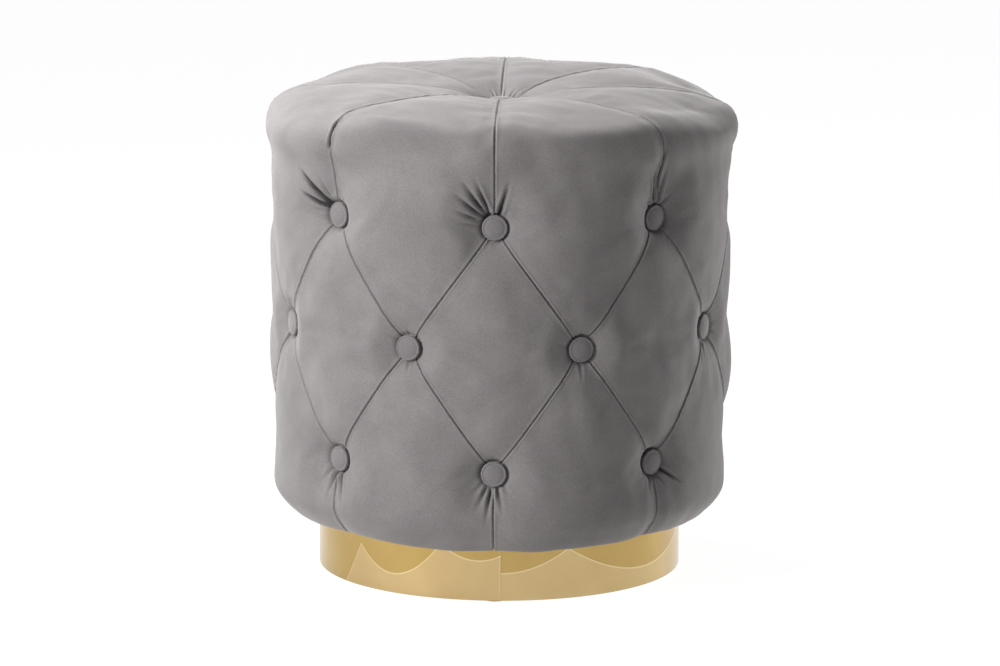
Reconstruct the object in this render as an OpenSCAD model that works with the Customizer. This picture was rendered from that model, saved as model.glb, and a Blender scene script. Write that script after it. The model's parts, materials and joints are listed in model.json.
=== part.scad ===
// Round tufted pouf: a sewn velvet cover of 24 panels, drawn in by buttons over
// foam and a plywood drum, on a round plinth inside a polished metal band.
// Millimetres. +Z is up, -Y is the front, and the origin is on the floor under the centre.

/* [Drum] */
// Outer diameter of the drum that carries the foam
drum_d = 344; // [330:1:348]
// Height of the drum, over both its boards
drum_h = 302; // [297:1:330]
// Thickness of the bent hardboard wall
wall_t = 3; // [2:0.5:5]
// Thickness of both plywood boards
board_t = 15; // [10:1:18]
// Diameter of the hole in the lower board, through which the ties are reached
access_d = 120; // [60:1:150]
// Width of an upright along the wall
upright_w = 28; // [20:1:32]
// Depth of an upright towards the centre
upright_depth = 40; // [36:1:50]

/* [Cushion] */
// Thickness of the side foam over the drum, along the seams at the lower edge
side_foam_t = 23.5; // [22:0.5:30]
// How far the sides flare out from the lower edge to the shoulder
side_flare = 6.5; // [0:0.5:10]
// Thickness of the seat foam over the upper board
seat_foam_t = 63.5; // [54:0.5:75]
// Rounding of the shoulder between seat and side
shoulder_r = 40; // [30:1:44]
// Rounding of the lower edge
lower_r = 24; // [18:1:24]
// Rise of the seat from the shoulder to its middle
seat_crown = 4.5; // [0:0.5:8]
// Thickness of the velvet with its backing
velvet_t = 2; // [1:0.25:3]
// Width of the hem that is turned in under the drum
hem_w = 30; // [20:1:40]

/* [Tufting] */
// How far the upper row of buttons lies below the top of the drum
upper_row_drop = 25; // [20:1:35]
// Vertical distance between rows of buttons
row_pitch = 107; // [100:1:112]
// Diameter of a covered button
button_d = 22; // [18:1:26]
// Height of a covered button, over its dome
button_h = 6.5; // [6:0.25:8]
// How far an upper button draws the cover in
upper_pull = 14; // [8:0.5:16]
// How far a middle button draws the cover in
middle_pull = 9; // [7:0.5:16]
// How far a lower button draws the cover in
lower_pull = 11; // [7:0.5:16]
// How far the middle button draws the seat down
seat_pull = 20; // [10:0.5:26]
// Run over which the cover rises again beside a side button
pull_run = 13; // [10:1:20]
// Run over which the seat rises again around the middle button
seat_pull_run = 32; // [20:1:45]
// How far the cover swells between seams
puff_h = 4.5; // [2:0.25:8]
// Distance from a seam at which a panel has its full swell
puff_run = 45; // [30:1:60]
// How far the shoulder is flattened between seams
shoulder_slack = 13; // [6:0.5:16]
// Run over which that flattening fades out, over the seat and down the sides
slack_run = 36; // [28:1:40]

/* [Ties] */
// Diameter of the waxed tie behind each button
tie_d = 2; // [1.5:0.25:2.5]
// Diameter of the toggle that holds a tie inside the drum
toggle_d = 18; // [12:1:18]
// Thickness of a toggle
toggle_t = 3; // [2:0.5:5]

/* [Plinth] */
// Outer diameter of the metal band
band_d = 317; // [304:1:325]
// Height of the metal band
band_h = 53; // [46:1:60]
// Thickness of the metal band
band_t = 0.8; // [0.5:0.1:1.5]
// Width of the butt joint in the band
band_joint_gap = 0.4; // [0.2:0.1:1]
// Direction of that joint, counted from the front towards +X
band_joint_angle = 2; // [-8:1:8]
// Width of the cleat behind the joint
cleat_w = 30; // [20:1:40]
// Thickness of the cleat behind the joint
cleat_t = 1.2; // [0.8:0.1:2]
// Thickness of the plywood in the plinth
plinth_t = 15; // [12:1:18]
// Width of the plinth's lower ring, from its inner to its outer edge
plinth_ring_w = 34; // [28:1:40]
// Number of blocks between the plinth's ring and its board, and of glides between them
block_count = 6; // [4:1:8]
// Length of a plinth block along the ring
block_l = 50; // [40:1:60]
// Thickness of the black cloth under the cushion
cloth_t = 1; // [0.5:0.1:1.5]
// How far that cloth stays inside the cushion's lower rounding
cloth_inset = 10; // [6:1:16]
// Diameter of a glide
glide_d = 24; // [18:1:28]
// Height of a glide under the plinth
glide_h = 2; // [2:0.5:6]

/* [Fasteners] */
// Shank diameter of the wood screws
screw_d = 4; // [3:0.5:5]
// Head diameter of the wood screws
screw_head_d = 8; // [7:0.5:9]
// Length of the screws through the boards into the uprights
screw_l = 45; // [35:1:60]
// Thread diameter of the plinth bolts
bolt_d = 8; // [6:1:8]
// Width across the flats of a plinth bolt's head
bolt_head_w = 13; // [10:1:14]
// Height of a plinth bolt's head
bolt_head_h = 5.3; // [4:0.1:6]
// Distance of the plinth bolts from the inner edge of the plinth's ring
bolt_inset = 16; // [14:1:24]
// Diameter of the washer under a bolt's head
washer_d = 24; // [18:1:26]
// Thickness of that washer
washer_t = 2; // [1:0.5:2.5]
// Flange diameter of a tee nut
tee_flange_d = 22; // [18:1:24]
// Barrel diameter of a tee nut
tee_barrel_d = 10.5; // [9.5:0.1:11]

/* [Hidden] */
$fn = 96;
COLUMNS = 8; // columns of buttons, and of panels
UPRIGHTS = 4;
STEPS = 5; // intervals across each row of a panel
FLARE_POWER = 3; // how late the sides flare out towards the shoulder
SHARE = 10000; // points are rounded to this share of a millimetre, so that neighbours meet
OVER = 1; // how far a cutter runs past what it cuts
FIT = 0.1; // radial clearance of a shank or a tie in its hole
WALL_HOLE_GAP = 1; // radial room for a tie in the hardboard
WALL_JOINT = 0.5; // width of the joint in the hardboard
SEAT_MARGIN = 2; // flat margin of the cover around a button
SEAT_SHARES = [0.2, 0.42, 0.72, 1]; // places of a panel's rows over the seat, as shares of its run
SHOULDER_SHARES = [1/3, 2/3, 1]; // the same over the shoulder
CENTRE_GAP_R = 6; // radius at which the top panels end under the middle button
CAP_T = 1.5; // wall of a button's shell
BACK_T = 1; // thickness of a button's back plate
KNOT_D = 3.6; // diameter of a tie's knots
SCREW_HEAD_H = 2.4; // height of a countersunk head
SCREW_POINT = 6; // length of a screw's point
SCREW_BITE = 8; // how far the plinth's screws end inside its board
SCREW_EDGE = 11; // distance of a screw from the edge of a block or an upright
BOLT_OVER = 3; // how far a bolt stands out of its tee nut
TEE_FLANGE_T = 1.5; // thickness of a tee nut's flange
TEE_BARREL_L = 9; // length of a tee nut's barrel
GLIDE_CHAMFER = 0.6; // chamfer of a glide's rim
GLIDE_PIN_D = 2.5; // diameter of a glide's pin
GLIDE_PIN_REST = 3; // plywood left over a glide's pin

// Heights
plinth_z = glide_h;
block_z = plinth_z + plinth_t;
plinth_top_z = plinth_z + band_h;
plinth_board_z = plinth_top_z - plinth_t;
cloth_top_z = plinth_top_z + cloth_t;
drum_z = cloth_top_z + velvet_t;
drum_top_z = drum_z + drum_h;
lower_board_top_z = drum_z + board_t;
upper_board_z = drum_top_z - board_t;
seat_z = drum_top_z + seat_foam_t + velvet_t;
seat_floor_z = seat_z + seat_crown - seat_pull;

// Radii and angles
pitch = 360 / COLUMNS;
half_pitch = pitch / 2;
drum_r = drum_d / 2;
board_r = drum_r - wall_t;
lower_side_r = drum_r + side_foam_t + velvet_t; // radius of the sides along the seams, at the lower edge
shoulder_side_r = lower_side_r + side_flare;
button_r = button_d / 2;
seat_r = button_r + SEAT_MARGIN;
tie_r = tie_d / 2;
tie_hole_r = tie_r + FIT;
toggle_r = toggle_d / 2;
toggle_seat = sqrt(pow(board_r, 2) - pow(toggle_r, 2));
knot_rise = sqrt(pow(KNOT_D / 2, 2) - pow(tie_hole_r, 2));
upright_turn = half_pitch / 2;
band_r = band_d / 2;
plinth_r = band_r - band_t;
plinth_ring_r = plinth_r - plinth_ring_w;
ring_middle_r = plinth_r - plinth_ring_w / 2;
bolt_r = bolt_d / 2;
bolt_turn = upright_turn + 180 / UPRIGHTS;
bolt_place_r = plinth_ring_r - bolt_inset;
screw_r = screw_d / 2;
plinth_screw_l = plinth_board_z - plinth_z + SCREW_BITE;

// Distances along the outline, from the middle of the seat, over the shoulder and down to the hem
flat_run = shoulder_side_r - shoulder_r;
shoulder_run = shoulder_r * PI / 2;
side_s = flat_run + shoulder_run;
side_z = seat_z - shoulder_r;
side_run = side_z - cloth_top_z - lower_r;
lower_s = side_s + side_run;
lower_run = lower_r * PI / 2;
hem_s = lower_s + lower_run;
hem_end_s = hem_s + hem_w;
split_s = side_s + side_z - drum_top_z;
upper_s = split_s + upper_row_drop;
middle_s = upper_s + row_pitch;
low_s = middle_s + row_pitch;
row_s = [upper_s, middle_s, low_s];
row_pull = [upper_pull, middle_pull, lower_pull];

// The shape of the cover

// The outline along a seam at a distance s: radius, height, and the outward and upward parts of its normal
function outline(s) =
    s < flat_run ? [s, seat_z + seat_crown * (1 - pow(s / flat_run, 2)), 0, 1]
    : s < side_s ? rounding(flat_run, side_z, shoulder_r, 90 * (side_s - s) / shoulder_run)
    : s < lower_s ? [side_r((lower_s - s) / side_run), side_z - s + side_s, 1, 0]
    : s < hem_s ? rounding(lower_side_r - lower_r, cloth_top_z + lower_r, lower_r, 90 * (lower_s - s) / lower_run)
    : [lower_side_r - lower_r - s + hem_s, cloth_top_z, 0, -1];

function rounding(r, z, round_r, angle) =
    [r + round_r * cos(angle), z + round_r * sin(angle), cos(angle), sin(angle)];

function side_r(height) = lower_side_r + side_flare * pow(height, FLARE_POWER);

// Distance of a point p from the line between a and b
function seam_distance(p, a, b) =
    let (
        run = b - a,
        along = min(max((p - a) * run / (run * run), 0), 1)
    )
    norm(p - a - along * run);

// How far a panel swells at a distance d from its nearest seam
function swell(d) = puff_h * (1 - pow(1 - min(d / puff_run, 1), 2));

// How far the shoulder is flattened at an angle off the nearest column: most of all halfway between two
function slack(off, s) =
    let (
        on_shoulder = exp(-pow((s - flat_run - shoulder_run / 2) / slack_run, 2))
    )
    shoulder_slack * on_shoulder * (1 - pow(1 - off / half_pitch, 2));

// A height that is drawn towards a button's seat, at a distance d from the button's middle
function drawn(height, seat, d, run) = height + (seat - height) * exp(-max(d - seat_r, 0) / run);

// The radius at which the buttons of a row sit on the cover
function seat_of(row) = outline(row_s[row])[0] - row_pull[row];

// How far the cover stands off its outline, at an angle from the front and a distance s
function lift(angle, s) =
    let (
        o = outline(s),
        off = abs(angle - pitch * round(angle / pitch)),
        across = o[0] * PI / 180,
        p = [across * off, s],
        upper = [0, upper_s],
        middle = [across * half_pitch, middle_s],
        low = [0, low_s],
        seam = min(
            seam_distance(p, [0, 0], upper),
            seam_distance(p, upper, middle),
            seam_distance(p, middle, low),
            seam_distance(p, low, [0, hem_end_s])
        ),
        by_upper = drawn(swell(seam) - slack(off, s), seat_of(0) - o[0], norm(p - upper), pull_run),
        by_middle = drawn(by_upper, seat_of(1) - o[0], norm(p - middle), pull_run),
        by_low = drawn(by_middle, seat_of(2) - o[0], norm(p - low), pull_run),
        hem_fade = min(max((hem_s - s) / lower_run, 0), 1)
    )
    hem_fade * drawn(by_low, seat_floor_z - o[1], s, seat_pull_run);

// A point of the cover, set in from its outer face by a depth
function cover_point(angle, s, inset) =
    let (
        o = outline(s),
        off = lift(angle, s) - inset,
        r = o[0] + o[2] * off,
        p = [r * sin(angle), -r * cos(angle), o[1] + o[3] * off]
    )
    [for (v = p) round(v * SHARE) / SHARE];

// Rows down each kind of panel, each with its distance s and half the panel's angle there
function full_rows(distances) = [for (s = distances) [s, half_pitch]];

function opening(s, from, to) = half_pitch * (s - from) / (to - from);

function spaced(from, to) = [from, from + seat_r, (from + to) / 2, to - seat_r, to];

seat_rows = full_rows(concat(
    [CENTRE_GAP_R, seat_r],
    [for (share = SEAT_SHARES) flat_run * share],
    [for (share = SHOULDER_SHARES) flat_run + shoulder_run * share],
    [split_s]
));
above_rows = concat(
    full_rows([upper_s - seat_r]),
    [for (s = spaced(upper_s, middle_s)) [s, half_pitch - opening(s, upper_s, middle_s)]]
);
widening_rows = [for (s = spaced(upper_s, middle_s)) [s, opening(s, upper_s, middle_s)]];
narrowing_rows = [for (s = spaced(middle_s, low_s)) if (s > middle_s) [s, half_pitch - opening(s, middle_s, low_s)]];
diamond_rows = concat(widening_rows, narrowing_rows);
below_rows = concat(
    [for (s = spaced(middle_s, low_s)) [s, opening(s, middle_s, low_s)]],
    full_rows([low_s + seat_r, lower_s, lower_s + lower_run / 2, hem_s])
);
top_rows = concat(seat_rows, above_rows);
lower_rows = concat(below_rows, full_rows([hem_end_s]));

// The angles of the points across a row, closer together beside the seams
function across_row(row) =
    let (
        half = row[1],
        margin = min(seat_r / outline(row[0])[0] * 180 / PI, half / 2),
        inner = half - margin
    )
    [-half, -inner, -inner / 3, inner / 3, inner, half];

function patch_points(rows, middle_angle, inset) =
    [for (row = rows, a = across_row(row)) cover_point(middle_angle + a, row[0], inset)];

// The triangles of a patch of rows, seen from outside, starting at a point's index
function patch_faces(row_count, first) =
    [for (i = [0:row_count - 2], j = [0:STEPS - 1])
        let (a = first + i * (STEPS + 1) + j, b = a + STEPS + 1)
        each [[a, a + 1, b + 1], [a, b + 1, b]]];

// The steps along a row, from left to right
function row_edges(first) = [for (j = [0:STEPS - 1]) [first + j, first + j + 1]];

function turned(edges) = [for (e = edges) [e[1], e[0]]];

function down_edges(row_count, first) =
    [for (i = [0:row_count - 2]) [first + i * (STEPS + 1), first + (i + 1) * (STEPS + 1)]];

// Triangles from each rim edge of an outer patch back to the inner patch, whose indices are higher by back.
// The sides are split so that neighbouring panels share the same diagonals.
function rim_faces(row_count, back) =
    let (
        ends = concat(turned(row_edges(0)), row_edges((row_count - 1) * (STEPS + 1))),
        right = turned(down_edges(row_count, STEPS)),
        left = down_edges(row_count, 0)
    )
    concat(
        [for (e = concat(ends, right)) each [[e[0], e[1], e[1] + back], [e[0], e[1] + back, e[0] + back]]],
        [for (e = left) each [[e[0], e[1], e[0] + back], [e[1], e[1] + back, e[0] + back]]]
    );

// Triangles from the edges of a flat cap to the point in its middle
function cap_faces(edges, centre) = [for (e = edges) [e[0], e[1], centre]];

// The triangles that have an area: those at a panel's point have none
function real_faces(points, faces) =
    [for (f = faces) if (points[f[0]] != points[f[1]] && points[f[1]] != points[f[2]] && points[f[2]] != points[f[0]]) f];

function flipped(faces) = [for (f = faces) [f[2], f[1], f[0]]];

module shell(points, faces) {
    polyhedron(points, real_faces(points, faces), convexity = 8);
}

// Placing

// Turns something so that its own X axis points outwards at an angle from the front
module at_angle(angle) {
    rotate([0, 0, angle - 90]) children();
}

// Places something so that its own Z axis points outwards from a radius and a height
module facing_out(angle, r, z) {
    at_angle(angle) translate([r, 0, z]) rotate([0, 90, 0]) children();
}

module around(count, turn = 0) {
    for (i = [0:count - 1]) at_angle(turn + i * 360 / count) children();
}

function row_z(row) = drum_top_z - upper_row_drop - row * row_pitch;

// The upper and lower rows share their columns, and the middle row lies between them
function row_turn(row) = row == 1 ? half_pitch : 0;

module along_row(row, r) {
    for (i = [0:COLUMNS - 1]) facing_out(row_turn(row) + i * pitch, r, row_z(row)) children();
}

module disc(r, h, hole_r) {
    difference() {
        cylinder(r = r, h = h);
        translate([0, 0, -OVER]) cylinder(r = hole_r, h = h + 2 * OVER);
    }
}

// Velvet cover

// A hole for a tie, from the drum outwards
module cover_hole() {
    translate([0, 0, -OVER]) cylinder(r = tie_hole_r, h = shoulder_side_r - drum_r + puff_h + OVER);
}

// A sewn panel, with a hole at each button that its seams run to
module panel(rows, middle_angle, side_row, middle_rows) {
    count = len(rows);
    back = count * (STEPS + 1);
    points = concat(patch_points(rows, middle_angle, 0), patch_points(rows, middle_angle, velvet_t));
    faces = concat(patch_faces(count, 0), flipped(patch_faces(count, back)), rim_faces(count, back));
    color("#8b8587") difference() {
        shell(points, faces);
        for (side = [-1, 1]) facing_out(middle_angle + side * half_pitch, drum_r, row_z(side_row)) cover_hole();
        for (row = middle_rows) facing_out(middle_angle, drum_r, row_z(row)) cover_hole();
    }
}

module top_panel(i) {
    panel(top_rows, i * pitch - half_pitch, 0, [1]);
}

module diamond_panel(i) {
    panel(diamond_rows, (i - 1) * pitch, 1, [0, 2]);
}

module lower_panel(i) {
    panel(lower_rows, i * pitch - half_pitch, 2, [1]);
}

// Foam

// The points and triangles of one kind of patch, repeated for every column
function ring_points(rows, turn) =
    [for (k = [0:COLUMNS - 1]) each patch_points(rows, turn + k * pitch, velvet_t)];

function ring_faces(rows, first) =
    [for (k = [0:COLUMNS - 1]) each patch_faces(len(rows), first + k * len(rows) * (STEPS + 1))];

function ring_edges(rows, row, first) =
    [for (k = [0:COLUMNS - 1]) each row_edges(first + (k * len(rows) + row) * (STEPS + 1))];

// The foam disc under the seat, drawn down in the middle
module seat_foam() {
    rows = concat(full_rows([0]), seat_rows);
    points = concat(ring_points(rows, half_pitch), [[0, 0, drum_top_z]]);
    bottom = ring_edges(rows, len(rows) - 1, 0);
    color("#e6d9a8") difference() {
        shell(points, concat(ring_faces(rows, 0), cap_faces(bottom, len(points) - 1)));
        translate([0, 0, drum_top_z - OVER]) cylinder(r = tie_hole_r, h = seat_foam_t + 2 * OVER);
    }
}

// The foam around the drum, drawn in at the buttons
module side_foam() {
    upper = concat([seat_rows[len(seat_rows) - 1]], above_rows);
    diamonds_first = COLUMNS * len(upper) * (STEPS + 1);
    lower_first = diamonds_first + COLUMNS * len(diamond_rows) * (STEPS + 1);
    points = concat(
        ring_points(upper, half_pitch),
        ring_points(diamond_rows, 0),
        ring_points(below_rows, half_pitch),
        [[0, 0, drum_top_z], [0, 0, drum_z]]
    );
    top = turned(ring_edges(upper, 0, 0));
    bottom = ring_edges(below_rows, len(below_rows) - 1, lower_first);
    faces = concat(
        ring_faces(upper, 0),
        ring_faces(diamond_rows, diamonds_first),
        ring_faces(below_rows, lower_first),
        cap_faces(top, len(points) - 2),
        cap_faces(bottom, len(points) - 1)
    );
    color("#dccf9c") difference() {
        shell(points, faces);
        translate([0, 0, drum_z - OVER]) cylinder(r = drum_r, h = drum_h + 2 * OVER);
        for (row = [0:2]) along_row(row, drum_r) cover_hole();
    }
}

// Buttons and ties

// Radius of the sphere that a button's dome is cut from
dome_r = (pow(button_r, 2) + pow(button_h, 2)) / (2 * button_h);

module dome(r) {
    translate([0, 0, button_h - dome_r]) sphere(r = r);
}

// A hollow covered button, open at the back
module button() {
    color("#7d7779") difference() {
        intersection() {
            cylinder(r = button_r, h = button_h);
            dome(dome_r);
        }
        dome(dome_r - CAP_T);
    }
}

// The plate in the back of a button, with the hole for its tie
module button_back() {
    color("#b9bcbf") difference() {
        intersection() {
            cylinder(r = button_r, h = BACK_T);
            dome(dome_r - CAP_T);
        }
        translate([0, 0, -OVER]) cylinder(r = tie_hole_r, h = BACK_T + 2 * OVER);
    }
}

// A tie with a knot in the button and a knot behind its toggle
module tie(length) {
    color("#d8d0bb") union() {
        translate([0, 0, -length - knot_rise]) cylinder(r = tie_r, h = length + BACK_T + 2 * knot_rise);
        for (z = [-length - knot_rise, BACK_T + knot_rise]) translate([0, 0, z]) sphere(d = KNOT_D);
    }
}

module toggle() {
    color("#4b4a48") disc(toggle_r, toggle_t, tie_hole_r);
}

module row_ties(row) {
    along_row(row, seat_of(row)) tie(seat_of(row) - toggle_seat + toggle_t);
}

module top_button() {
    translate([0, 0, seat_floor_z]) button();
}

module upper_buttons() {
    along_row(0, seat_of(0)) button();
}

module middle_buttons() {
    along_row(1, seat_of(1)) button();
}

module lower_buttons() {
    along_row(2, seat_of(2)) button();
}

module button_backs() {
    translate([0, 0, seat_floor_z]) button_back();
    for (row = [0:2]) along_row(row, seat_of(row)) button_back();
}

module top_tie() {
    translate([0, 0, seat_floor_z]) tie(seat_floor_z - upper_board_z + toggle_t);
}

module upper_ties() {
    row_ties(0);
}

module middle_ties() {
    row_ties(1);
}

module lower_ties() {
    row_ties(2);
}

module tie_toggles() {
    translate([0, 0, upper_board_z - toggle_t]) toggle();
    for (row = [0:2]) along_row(row, toggle_seat - toggle_t) toggle();
}

// Screws and bolts

// A countersunk wood screw, with its head at z = 0 and its point upwards
module screw(length) {
    color("#c9a94f") rotate_extrude() polygon([
        [0, 0], [screw_head_d / 2, 0], [screw_r, SCREW_HEAD_H], [screw_r, length - SCREW_POINT], [0, length]
    ]);
}

// The space for a screw: its head, then its shank with a clearance, then its thread and point
module screw_space(length, clear_l) {
    rotate_extrude() polygon([
        [0, -OVER], [screw_head_d / 2, -OVER], [screw_head_d / 2, 0], [screw_r + FIT, SCREW_HEAD_H],
        [screw_r + FIT, clear_l], [screw_r, clear_l], [screw_r, length - SCREW_POINT], [0, length]
    ]);
}

// Every screw's place in the drum's frame: from above into the uprights, and from below
module frame_screw_places() {
    for (inset = [SCREW_EDGE, upright_depth - SCREW_EDGE]) around(UPRIGHTS, upright_turn) {
        translate([board_r - inset, 0, drum_top_z]) mirror([0, 0, 1]) children();
        translate([board_r - inset, 0, drum_z]) children();
    }
}

module plinth_screw_places() {
    along = block_l / 2 - SCREW_EDGE;
    for (side = [-1, 1]) around(block_count, 180 / block_count)
        translate([ring_middle_r, side * along, plinth_z]) children();
}

module frame_screws() {
    frame_screw_places() screw(screw_l);
}

module plinth_screws() {
    plinth_screw_places() screw(plinth_screw_l);
}

module bolt_places(z) {
    around(UPRIGHTS, bolt_turn) translate([bolt_place_r, 0, z]) children();
}

module tee_nuts() {
    color("#c9ccd0") bolt_places(lower_board_top_z) rotate_extrude() polygon([
        [bolt_r + FIT, -TEE_BARREL_L], [tee_barrel_d / 2, -TEE_BARREL_L], [tee_barrel_d / 2, 0],
        [tee_flange_d / 2, 0], [tee_flange_d / 2, TEE_FLANGE_T], [bolt_r + FIT, TEE_FLANGE_T]
    ]);
}

module bolt_washers() {
    color("#c9ccd0") bolt_places(plinth_board_z - washer_t) disc(washer_d / 2, washer_t, bolt_r + FIT);
}

module plinth_bolts() {
    shank_l = lower_board_top_z + TEE_FLANGE_T + BOLT_OVER - plinth_board_z + washer_t;
    color("#b4b8bc") bolt_places(plinth_board_z - washer_t) union() {
        translate([0, 0, -bolt_head_h]) cylinder(d = bolt_head_w / cos(30), h = bolt_head_h, $fn = 6);
        cylinder(r = bolt_r, h = shank_l);
    }
}

// Drum

module upper_board() {
    color("#d9b98a") difference() {
        translate([0, 0, upper_board_z]) cylinder(r = board_r, h = board_t);
        translate([0, 0, upper_board_z - OVER]) cylinder(r = tie_hole_r, h = board_t + 2 * OVER);
        frame_screw_places() screw_space(screw_l, board_t);
    }
}

module lower_board() {
    color("#d9b98a") difference() {
        translate([0, 0, drum_z]) disc(board_r, board_t, access_d / 2);
        frame_screw_places() screw_space(screw_l, board_t);
        bolt_places(drum_z - OVER) cylinder(r = tee_barrel_d / 2, h = board_t + 2 * OVER);
    }
}

// An upright between the boards, shaped to the wall
module upright(i) {
    color("#c9a877") difference() {
        intersection() {
            translate([0, 0, lower_board_top_z]) cylinder(r = board_r, h = drum_h - 2 * board_t);
            at_angle(upright_turn + (i - 1) * 360 / UPRIGHTS)
                translate([board_r - upright_depth, -upright_w / 2, lower_board_top_z])
                    cube([upright_depth, upright_w, drum_h - 2 * board_t]);
        }
        frame_screw_places() screw_space(screw_l, board_t);
    }
}

// The bent wall, with a joint over the first upright and a hole for each tie
module drum_wall() {
    color("#8a6b4c") difference() {
        translate([0, 0, drum_z]) disc(drum_r, drum_h, board_r);
        at_angle(upright_turn) translate([board_r - OVER, -WALL_JOINT / 2, drum_z - OVER])
            cube([wall_t + 2 * OVER, WALL_JOINT, drum_h + 2 * OVER]);
        for (row = [0:2]) along_row(row, board_r - OVER)
            cylinder(r = tie_r + WALL_HOLE_GAP, h = wall_t + 2 * OVER);
    }
}

// The black cloth over the underside of the cushion
module dust_cloth() {
    color("#26262a") difference() {
        translate([0, 0, plinth_top_z]) cylinder(r = lower_side_r - lower_r - cloth_inset, h = cloth_t);
        bolt_places(plinth_top_z - OVER) cylinder(r = bolt_r + FIT, h = cloth_t + 2 * OVER);
    }
}

// Plinth

// The room for the cleat behind the band's joint
module cleat_shape(h) {
    intersection() {
        disc(plinth_r, h, plinth_r - cleat_t);
        at_angle(band_joint_angle) translate([0, -cleat_w / 2, 0]) cube([plinth_r, cleat_w, h]);
    }
}

module plinth_board() {
    color("#d9b98a") difference() {
        translate([0, 0, plinth_board_z]) cylinder(r = plinth_r, h = plinth_t);
        translate([0, 0, plinth_z]) cleat_shape(band_h);
        bolt_places(plinth_board_z - OVER) cylinder(r = bolt_r + FIT, h = plinth_t + 2 * OVER);
        plinth_screw_places() screw_space(plinth_screw_l, plinth_board_z - plinth_z);
    }
}

module plinth_ring() {
    color("#cfae7c") difference() {
        translate([0, 0, plinth_z]) disc(plinth_r, plinth_t, plinth_ring_r);
        translate([0, 0, plinth_z]) cleat_shape(band_h);
        plinth_screw_places() screw_space(plinth_screw_l, plinth_board_z - plinth_z);
        glide_places() glide_pin();
    }
}

module plinth_blocks() {
    color("#c9a877") difference() {
        intersection() {
            around(block_count, 180 / block_count)
                translate([plinth_ring_r, -block_l / 2, block_z])
                    cube([plinth_ring_w, block_l, plinth_board_z - block_z]);
            translate([0, 0, block_z]) cylinder(r = plinth_r, h = plinth_board_z - block_z);
        }
        plinth_screw_places() screw_space(plinth_screw_l, plinth_board_z - plinth_z);
    }
}

// The polished band, bent round and joined at the front
module base_band() {
    color("#d4b06a") difference() {
        translate([0, 0, plinth_z]) disc(band_r, band_h, plinth_r);
        at_angle(band_joint_angle) translate([plinth_r - OVER, -band_joint_gap / 2, plinth_z - OVER])
            cube([band_t + 2 * OVER, band_joint_gap, band_h + 2 * OVER]);
    }
}

module band_cleat() {
    color("#c2a05c") translate([0, 0, plinth_z]) cleat_shape(band_h);
}

module glide_places() {
    around(block_count) translate([ring_middle_r, 0, 0]) children();
}

module glide_pin() {
    pin_l = plinth_t - GLIDE_PIN_REST;
    translate([0, 0, glide_h - OVER]) cylinder(d = GLIDE_PIN_D, h = pin_l + OVER);
}

module glides() {
    r = glide_d / 2;
    color("#2b2b2b") glide_places() union() {
        rotate_extrude() polygon([
            [0, 0], [r - GLIDE_CHAMFER, 0], [r, GLIDE_CHAMFER], [r, glide_h], [0, glide_h]
        ]);
        glide_pin();
    }
}

// Every piece by its name

for (i = [1:COLUMNS]) {
    top_panel(i);
    diamond_panel(i);
    lower_panel(i);
}
for (i = [1:UPRIGHTS]) {
    upright(i);
}
seat_foam();
side_foam();
upper_board();
lower_board();
drum_wall();
top_button();
upper_buttons();
middle_buttons();
lower_buttons();
button_backs();
top_tie();
upper_ties();
middle_ties();
lower_ties();
tie_toggles();
frame_screws();
dust_cloth();
tee_nuts();
plinth_bolts();
bolt_washers();
plinth_board();
plinth_ring();
plinth_blocks();
plinth_screws();
base_band();
band_cleat();
glides();
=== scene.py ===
"""Dresses the tufted pouf: sewn velvet panels drawn in by covered buttons, foam, a stapled dust cloth,
a gilt band round the plinth, and procedural materials on every piece, with a camera, a pale floor and
soft light. The shape is worked out in millimetres, and the meshes are in metres."""

import json
import math

import bpy
import numpy as np
from mathutils import Matrix, Vector


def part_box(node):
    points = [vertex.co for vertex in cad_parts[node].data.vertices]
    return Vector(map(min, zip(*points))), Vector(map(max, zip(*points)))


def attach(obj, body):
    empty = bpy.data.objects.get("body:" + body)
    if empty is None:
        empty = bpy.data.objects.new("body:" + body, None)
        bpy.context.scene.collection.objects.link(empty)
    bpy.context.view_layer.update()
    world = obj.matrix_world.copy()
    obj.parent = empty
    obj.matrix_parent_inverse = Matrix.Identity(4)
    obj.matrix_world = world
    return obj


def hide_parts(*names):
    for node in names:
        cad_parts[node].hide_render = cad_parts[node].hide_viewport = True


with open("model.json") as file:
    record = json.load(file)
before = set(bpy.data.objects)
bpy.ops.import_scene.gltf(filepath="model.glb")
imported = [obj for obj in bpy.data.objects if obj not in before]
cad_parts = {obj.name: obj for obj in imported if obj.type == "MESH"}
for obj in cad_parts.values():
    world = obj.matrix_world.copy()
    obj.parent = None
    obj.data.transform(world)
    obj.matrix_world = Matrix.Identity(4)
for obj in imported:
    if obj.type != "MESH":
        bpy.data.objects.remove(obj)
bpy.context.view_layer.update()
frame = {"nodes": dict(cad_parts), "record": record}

MM = 0.001
TINY = 1e-6


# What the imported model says

def mesh_points(mesh):
    """The points of a mesh, in millimetres."""
    points = np.empty(len(mesh.vertices) * 3)
    mesh.vertices.foreach_get("co", points)
    return points.reshape(-1, 3) / MM


def radius_of(name):
    """The outer radius of a CAD node."""
    points = mesh_points(frame["nodes"][name].data)
    return float(np.hypot(points[:, 0], points[:, 1]).max())


def heights_of(name):
    low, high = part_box(name)
    return low.z / MM, high.z / MM


DRUM_R = radius_of("drum_wall")
DRUM_Z, DRUM_TOP_Z = heights_of("drum_wall")
CLOTH_Z, CLOTH_TOP_Z = heights_of("dust_cloth")
CLOTH_R = radius_of("dust_cloth")
BAND_R = radius_of("base_band")
BAND_Z, BAND_TOP_Z = heights_of("base_band")

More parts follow.
